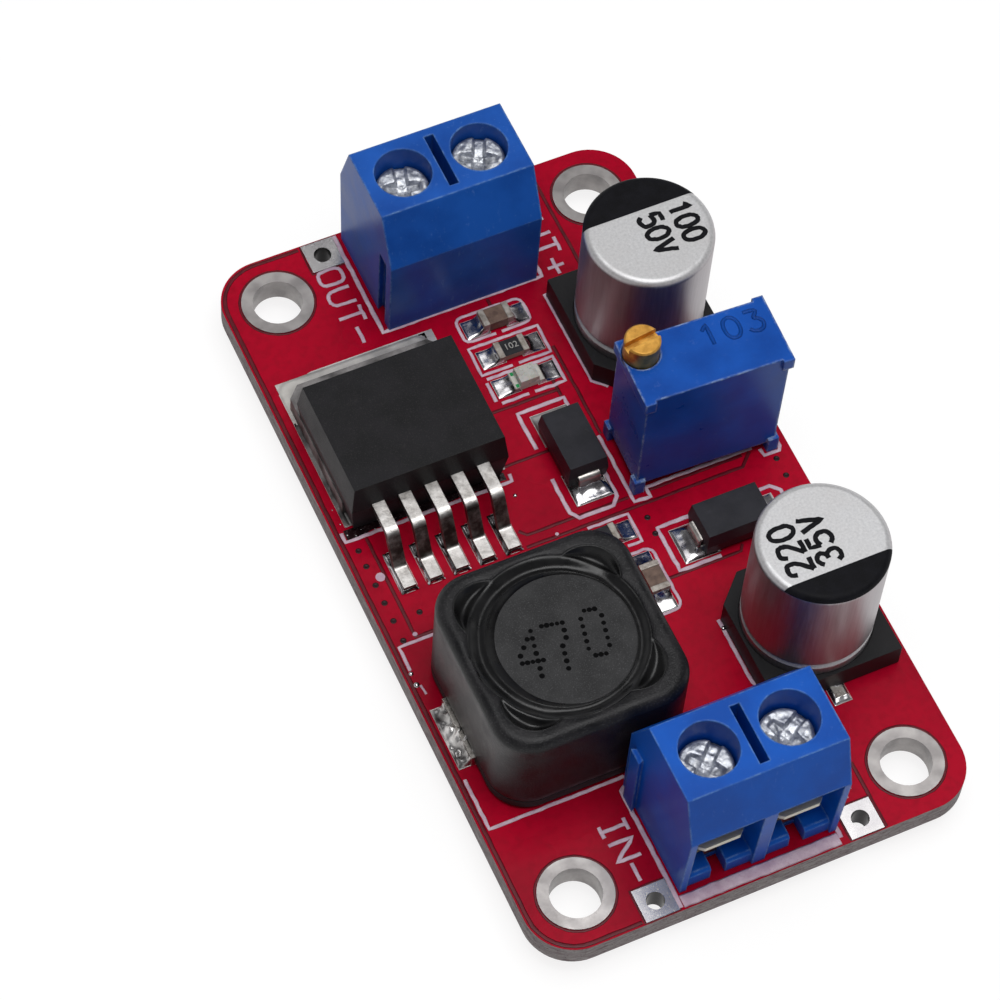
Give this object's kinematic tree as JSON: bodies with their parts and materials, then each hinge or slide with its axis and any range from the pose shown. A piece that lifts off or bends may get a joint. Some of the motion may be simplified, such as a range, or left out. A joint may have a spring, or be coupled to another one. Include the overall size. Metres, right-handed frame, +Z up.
{
  "type": "boost converter module",
  "caption": "Small step-up power board with screw terminals at both ends, a shielded inductor, upright capacitors, a tabbed regulator and a multi-turn trimmer.",
  "frame": {"origin": "centre of the four mounting holes, on the board's underside", "axes": "+Z up out of the component side, +Y from the input terminal to the output terminal, +X from the negative side to the positive side"},
  "size_m": [0.028, 0.0502, 0.0147],
  "materials": {
    "board": "solder-masked glass-epoxy laminate, semi-gloss",
    "tinned_copper": "tinned, slightly uneven",
    "solder": "bright soft solder",
    "terminal_plastic": "moulded polyamide, semi-gloss",
    "clamp_brass": "plated, satin",
    "spring_steel": "plated spring strip, satin",
    "zinc_steel": "zinc plated, worn by the driver",
    "trimmer_plastic": "moulded polyester, semi-gloss",
    "potting": "epoxy potting",
    "screw_brass": "turned, satin",
    "can_aluminium": "drawn, satin, printed top",
    "base_plastic": "moulded, matte",
    "tinned_lead": "tinned strip, satin",
    "mould_compound": "epoxy moulding compound, fine matte",
    "ferrite": "sintered ferrite, fine matte",
    "resin": "cast epoxy, glossy",
    "winding_copper": "enamelled copper wire",
    "chip_ceramic": "fired ceramic, satin",
    "resistor_glaze": "glazed top, satin",
    "indicator_base": "glass-epoxy strip",
    "indicator_lens": "milky clear epoxy"
  },
  "bodies": {
    "module": {"chip_capacitor_one_body": "chip_ceramic", "chip_capacitor_one_ends": "tinned_lead", "chip_capacitor_two_body": "chip_ceramic", "chip_capacitor_two_ends": "tinned_lead", "chip_resistor_one_body": "resistor_glaze", "chip_resistor_one_ends": "tinned_lead", "chip_resistor_two_body": "resistor_glaze", "chip_resistor_two_ends": "tinned_lead", "circuit_board": "board", "indicator_base": "indicator_base", "indicator_ends": "tinned_lead", "indicator_lens": "indicator_lens", "inductor_base": "base_plastic", "inductor_bond": "resin", "inductor_core": "ferrite", "inductor_shield": "ferrite", "inductor_terminals": "tinned_lead", "inductor_winding": "winding_copper", "input_capacitor_base": "base_plastic", "input_capacitor_can": "can_aluminium", "input_capacitor_leads": "tinned_lead", "input_diode_body": "mould_compound", "input_diode_leads": "tinned_lead", "input_negative_clamp_frame": "clamp_brass", "input_positive_clamp_frame": "clamp_brass", "input_terminal_housing": "terminal_plastic", "mounting_hole_plating": "tinned_copper", "output_capacitor_base": "base_plastic", "output_capacitor_can": "can_aluminium", "output_capacitor_leads": "tinned_lead", "output_diode_body": "mould_compound", "output_diode_leads": "tinned_lead", "output_negative_clamp_frame": "clamp_brass", "output_positive_clamp_frame": "clamp_brass", "output_terminal_housing": "terminal_plastic", "pin_hole_plating": "tinned_copper", "regulator_body": "mould_compound", "regulator_leads": "tinned_lead", "regulator_tab": "tinned_lead", "solder_pads": "tinned_copper", "terminal_solder_joints": "solder", "trimmer_base": "potting", "trimmer_housing": "trimmer_plastic", "trimmer_pins": "tinned_lead", "trimmer_solder_joints": "solder", "wire_pad_plating": "tinned_copper"},
    "input_negative_guard": {"input_negative_wire_guard": "spring_steel"},
    "input_negative_screw": {"input_negative_clamp_screw": "zinc_steel"},
    "input_positive_guard": {"input_positive_wire_guard": "spring_steel"},
    "input_positive_screw": {"input_positive_clamp_screw": "zinc_steel"},
    "output_negative_guard": {"output_negative_wire_guard": "spring_steel"},
    "output_negative_screw": {"output_negative_clamp_screw": "zinc_steel"},
    "output_positive_guard": {"output_positive_wire_guard": "spring_steel"},
    "output_positive_screw": {"output_positive_clamp_screw": "zinc_steel"},
    "adjuster": {"trimmer_screw": "screw_brass"}
  },
  "joints": [
    {"name": "input_negative_guard_slide", "type": "slide", "parent": "module", "child": "input_negative_guard", "axis": [0, 0, -1], "range_m": [-0.0008, 0.00145]},
    {"name": "input_negative_screw_turn", "type": "hinge", "parent": "input_negative_guard", "child": "input_negative_screw", "pos_m": [-0.00269, -0.0207, 0.011], "axis": [0, 0, -1], "range_deg": [-640.1, 1160.1]},
    {"name": "input_positive_guard_slide", "type": "slide", "parent": "module", "child": "input_positive_guard", "axis": [0, 0, -1], "range_m": [-0.0008, 0.00145]},
    {"name": "input_positive_screw_turn", "type": "hinge", "parent": "input_positive_guard", "child": "input_positive_screw", "pos_m": [0.00231, -0.0207, 0.011], "axis": [0, 0, -1], "range_deg": [-640.1, 1160.1]},
    {"name": "output_negative_guard_slide", "type": "slide", "parent": "module", "child": "output_negative_guard", "axis": [0, 0, -1], "range_m": [-0.00035, 0.0019]},
    {"name": "output_negative_screw_turn", "type": "hinge", "parent": "output_negative_guard", "child": "output_negative_screw", "pos_m": [-0.00258, 0.02133, 0.011], "axis": [0, 0, -1], "range_deg": [-280.1, 1520.1]},
    {"name": "output_positive_guard_slide", "type": "slide", "parent": "module", "child": "output_positive_guard", "axis": [0, 0, -1], "range_m": [0, 0.00225]},
    {"name": "output_positive_screw_turn", "type": "hinge", "parent": "output_positive_guard", "child": "output_positive_screw", "pos_m": [0.00242, 0.02133, 0.011], "axis": [0, 0, -1], "range_deg": [0, 1800.1]},
    {"name": "adjuster_turn", "type": "hinge", "parent": "module", "child": "adjuster", "pos_m": [0.00502, 0.00416, 0.01165], "axis": [0, 0, 1], "continuous": true}
  ],
  "couplings": [
    {"joint": "input_negative_screw_turn", "follows": "input_negative_guard_slide", "rad_per_m": 13963},
    {"joint": "input_positive_screw_turn", "follows": "input_positive_guard_slide", "rad_per_m": 13963},
    {"joint": "output_negative_screw_turn", "follows": "output_negative_guard_slide", "rad_per_m": 13963},
    {"joint": "output_positive_screw_turn", "follows": "output_positive_guard_slide", "rad_per_m": 13963}
  ]
}
